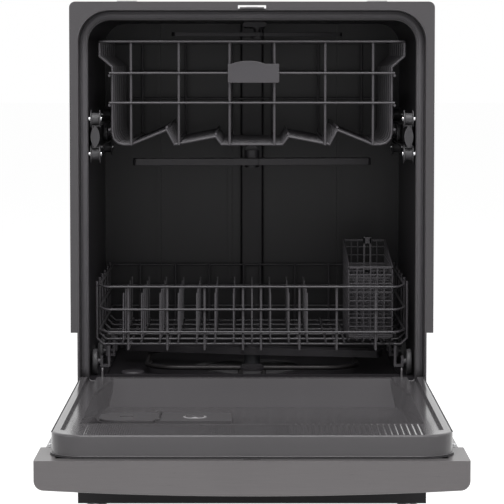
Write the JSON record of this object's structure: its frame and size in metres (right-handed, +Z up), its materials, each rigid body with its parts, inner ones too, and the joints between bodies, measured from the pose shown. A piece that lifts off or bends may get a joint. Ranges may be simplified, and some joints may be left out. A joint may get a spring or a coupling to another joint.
{
  "type": "built-in dishwasher",
  "caption": "Built-in dishwasher with a drop-down door, sliding wire racks, silverware basket and spray arms, for a standard kitchen cabinet opening.",
  "frame": {"origin": "on the floor, under the middle of the plane of the tub's front flange", "axes": "+Z up, +Y into the tub, away from the person at the door, +X to the right; the door is open flat and both racks are in"},
  "size_m": [0.607, 1.306, 0.8525],
  "materials": {
    "tub_plastic": "satin",
    "seal_rubber": "matte",
    "felt": "matte",
    "zinc_steel": "satin",
    "stainless": "brushed",
    "rack_coating": "satin",
    "wheel_plastic": "satin",
    "spray_plastic": "satin",
    "basket_plastic": "satin",
    "liner_plastic": "satin",
    "console_plastic": "satin",
    "kick_paint": "satin",
    "dispenser_plastic": "satin",
    "smoked_window": "gloss",
    "board": "satin",
    "pump_plastic": "matte",
    "hose_rubber": "matte",
    "natural_plastic": "matte",
    "heater_metal": "satin"
  },
  "bodies": {
    "chassis": {"tub": "tub_plastic", "tub_gasket": "seal_rubber", "sound_blanket": "felt", "strike_plate": "zinc_steel", "roller_studs": "zinc_steel", "rear_water_duct": "spray_plastic", "sump": "pump_plastic", "filter_screen": "spray_plastic", "circulation_pump": "pump_plastic", "drain_pump": "pump_plastic", "drain_spigot": "natural_plastic", "internal_hoses": "hose_rubber", "inlet_valve": "natural_plastic", "junction_box": "zinc_steel", "heater_element": "heater_metal", "float_stem": "natural_plastic", "base_frame": "zinc_steel", "toe_kick": "kick_paint", "levelling_feet": "zinc_steel", "mounting_brackets": "zinc_steel", "hinge_pins": "zinc_steel", "door_springs": "zinc_steel"},
    "door": {"door_outer_panel": "stainless", "door_console": "console_plastic", "display_window": "smoked_window", "control_board": "board", "latch_housing": "zinc_steel", "door_liner": "liner_plastic", "dispenser_body": "dispenser_plastic", "hinge_arms": "zinc_steel", "liner_screws": "zinc_steel"},
    "detergent_lid": {"detergent_lid": "dispenser_plastic"},
    "rinse_aid_cap": {"rinse_aid_cap": "dispenser_plastic"},
    "latch_hook": {"latch_hook": "zinc_steel"},
    "float": {"float": "spray_plastic"},
    "filter_cylinder": {"filter_cylinder": "spray_plastic"},
    "top_spray_arm": {"top_spray_arm": "spray_plastic"},
    "lower_spray_arm": {"lower_spray_arm": "spray_plastic"},
    "mid_spray_arm": {"mid_spray_arm": "spray_plastic"},
    "upper_rails": {"upper_rails": "stainless"},
    "upper_rack": {"upper_rack": "rack_coating", "upper_rack_handle": "console_plastic", "upper_rack_feed_tube": "spray_plastic"},
    "lower_rack": {"lower_rack": "rack_coating"},
    "silverware_basket": {"silverware_basket": "basket_plastic"},
    "button_1": {"button_1": "console_plastic"},
    "button_2": {"button_2": "console_plastic"},
    "button_3": {"button_3": "console_plastic"},
    "button_4": {"button_4": "console_plastic"},
    "button_5": {"button_5": "console_plastic"},
    "tub_rollers_front_upper": {"tub_rollers_front_upper": "wheel_plastic"},
    "tub_rollers_front_lower": {"tub_rollers_front_lower": "wheel_plastic"},
    "rack_wheels_front": {"rack_wheels_front": "wheel_plastic"},
    "tub_rollers_rear_upper": {"tub_rollers_rear_upper": "wheel_plastic"},
    "tub_rollers_rear_lower": {"tub_rollers_rear_lower": "wheel_plastic"},
    "rack_wheels_rear": {"rack_wheels_rear": "wheel_plastic"},
    "lower_wheels_1": {"lower_wheels_1": "wheel_plastic"},
    "lower_wheels_2": {"lower_wheels_2": "wheel_plastic"},
    "lower_wheels_3": {"lower_wheels_3": "wheel_plastic"},
    "lower_wheels_4": {"lower_wheels_4": "wheel_plastic"}
  },
  "joints": [
    {"name": "door_hinge", "type": "hinge", "parent": "chassis", "child": "door", "pos_m": [0, -0.028, 0.177], "axis": [1, 0, 0], "range_deg": [-90, 0], "deforming": ["door_springs"]},
    {"name": "detergent_lid_hinge", "type": "hinge", "parent": "door", "child": "detergent_lid", "pos_m": [-0.1445, -0.295, 0.2082], "axis": [0, -1, 0], "range_deg": [-100, 0]},
    {"name": "rinse_aid_cap_turn", "type": "hinge", "parent": "door", "child": "rinse_aid_cap", "pos_m": [-0.088, -0.295, 0.205], "axis": [0, 0, 1], "range_deg": [0, 90]},
    {"name": "latch_hook_turn", "type": "hinge", "parent": "door", "child": "latch_hook", "pos_m": [0, -0.673, 0.18], "axis": [1, 0, 0], "range_deg": [0, 20], "stiffness_Nm_per_rad": 0.02, "springref_deg": -28.65},
    {"name": "button_1_press", "type": "slide", "parent": "door", "child": "button_1", "axis": [0, 0, 1], "range_m": [0, 0.0015], "stiffness_N_per_m": 300, "springref_m": -0.001},
    {"name": "button_2_press", "type": "slide", "parent": "door", "child": "button_2", "axis": [0, 0, 1], "range_m": [0, 0.0015], "stiffness_N_per_m": 300, "springref_m": -0.001},
    {"name": "button_3_press", "type": "slide", "parent": "door", "child": "button_3", "axis": [0, 0, 1], "range_m": [0, 0.0015], "stiffness_N_per_m": 300, "springref_m": -0.001},
    {"name": "button_4_press", "type": "slide", "parent": "door", "child": "button_4", "axis": [0, 0, 1], "range_m": [0, 0.0015], "stiffness_N_per_m": 300, "springref_m": -0.001},
    {"name": "button_5_press", "type": "slide", "parent": "door", "child": "button_5", "axis": [0, 0, 1], "range_m": [0, 0.0015], "stiffness_N_per_m": 300, "springref_m": -0.001},
    {"name": "float_rise", "type": "slide", "parent": "chassis", "child": "float", "axis": [0, 0, 1], "range_m": [0, 0.008]},
    {"name": "filter_turn", "type": "hinge", "parent": "chassis", "child": "filter_cylinder", "pos_m": [0, 0.186, 0.222], "axis": [0, 0, 1], "range_deg": [0, 90]},
    {"name": "top_spray_arm_spin", "type": "hinge", "parent": "chassis", "child": "top_spray_arm", "pos_m": [0.009, 0.27, 0.8], "axis": [0, 0, 1], "continuous": true},
    {"name": "lower_spray_arm_spin", "type": "hinge", "parent": "chassis", "child": "lower_spray_arm", "pos_m": [0, 0.27, 0.25], "axis": [0, 0, 1], "continuous": true},
    {"name": "mid_spray_arm_spin", "type": "hinge", "parent": "upper_rack", "child": "mid_spray_arm", "pos_m": [0, 0.27, 0.58], "axis": [0, 0, 1], "continuous": true},
    {"name": "upper_rails_slide", "type": "slide", "parent": "chassis", "child": "upper_rails", "axis": [0, -1, 0], "range_m": [0, 0.11]},
    {"name": "upper_rack_slide", "type": "slide", "parent": "upper_rails", "child": "upper_rack", "axis": [0, -1, 0], "range_m": [0, 0.27]},
    {"name": "lower_rack_slide", "type": "slide", "parent": "chassis", "child": "lower_rack", "axis": [0, -1, 0], "range_m": [0, 0.49]},
    {"name": "silverware_basket_lift", "type": "slide", "parent": "lower_rack", "child": "silverware_basket", "axis": [0, 0, 1], "range_m": [0, 0.1]},
    {"name": "tub_rollers_front_upper_roll", "type": "hinge", "parent": "chassis", "child": "tub_rollers_front_upper", "pos_m": [0, 0.047, 0.658], "axis": [1, 0, 0], "continuous": true},
    {"name": "tub_rollers_front_lower_roll", "type": "hinge", "parent": "chassis", "child": "tub_rollers_front_lower", "pos_m": [0, 0.047, 0.6], "axis": [1, 0, 0], "continuous": true},
    {"name": "tub_rollers_rear_upper_roll", "type": "hinge", "parent": "chassis", "child": "tub_rollers_rear_upper", "pos_m": [0, 0.414, 0.658], "axis": [1, 0, 0], "continuous": true},
    {"name": "tub_rollers_rear_lower_roll", "type": "hinge", "parent": "chassis", "child": "tub_rollers_rear_lower", "pos_m": [0, 0.414, 0.6], "axis": [1, 0, 0], "continuous": true},
    {"name": "rack_wheels_front_roll", "type": "hinge", "parent": "upper_rack", "child": "rack_wheels_front", "pos_m": [0, 0.33, 0.629], "axis": [1, 0, 0], "continuous": true},
    {"name": "rack_wheels_rear_roll", "type": "hinge", "parent": "upper_rack", "child": "rack_wheels_rear", "pos_m": [0, 0.455, 0.629], "axis": [1, 0, 0], "continuous": true},
    {"name": "lower_wheels_1_roll", "type": "hinge", "parent": "lower_rack", "child": "lower_wheels_1", "pos_m": [0, 0.08, 0.2502], "axis": [1, 0, 0], "continuous": true},
    {"name": "lower_wheels_2_roll", "type": "hinge", "parent": "lower_rack", "child": "lower_wheels_2", "pos_m": [0, 0.24, 0.2502], "axis": [1, 0, 0], "continuous": true},
    {"name": "lower_wheels_3_roll", "type": "hinge", "parent": "lower_rack", "child": "lower_wheels_3", "pos_m": [0, 0.32, 0.2502], "axis": [1, 0, 0], "continuous": true},
    {"name": "lower_wheels_4_roll", "type": "hinge", "parent": "lower_rack", "child": "lower_wheels_4", "pos_m": [0, 0.48, 0.2502], "axis": [1, 0, 0], "continuous": true}
  ],
  "couplings": [
    {"joint": "tub_rollers_front_upper_roll", "follows": "upper_rails_slide", "rad_per_m": -100},
    {"joint": "tub_rollers_front_lower_roll", "follows": "upper_rails_slide", "rad_per_m": 100},
    {"joint": "tub_rollers_rear_upper_roll", "follows": "upper_rails_slide", "rad_per_m": -100},
    {"joint": "tub_rollers_rear_lower_roll", "follows": "upper_rails_slide", "rad_per_m": 100},
    {"joint": "rack_wheels_front_roll", "follows": "upper_rack_slide", "rad_per_m": 60.241},
    {"joint": "rack_wheels_rear_roll", "follows": "upper_rack_slide", "rad_per_m": 60.241},
    {"joint": "lower_wheels_1_roll", "follows": "lower_rack_slide", "rad_per_m": 46.512},
    {"joint": "lower_wheels_2_roll", "follows": "lower_rack_slide", "rad_per_m": 46.512},
    {"joint": "lower_wheels_3_roll", "follows": "lower_rack_slide", "rad_per_m": 46.512},
    {"joint": "lower_wheels_4_roll", "follows": "lower_rack_slide", "rad_per_m": 46.512}
  ]
}
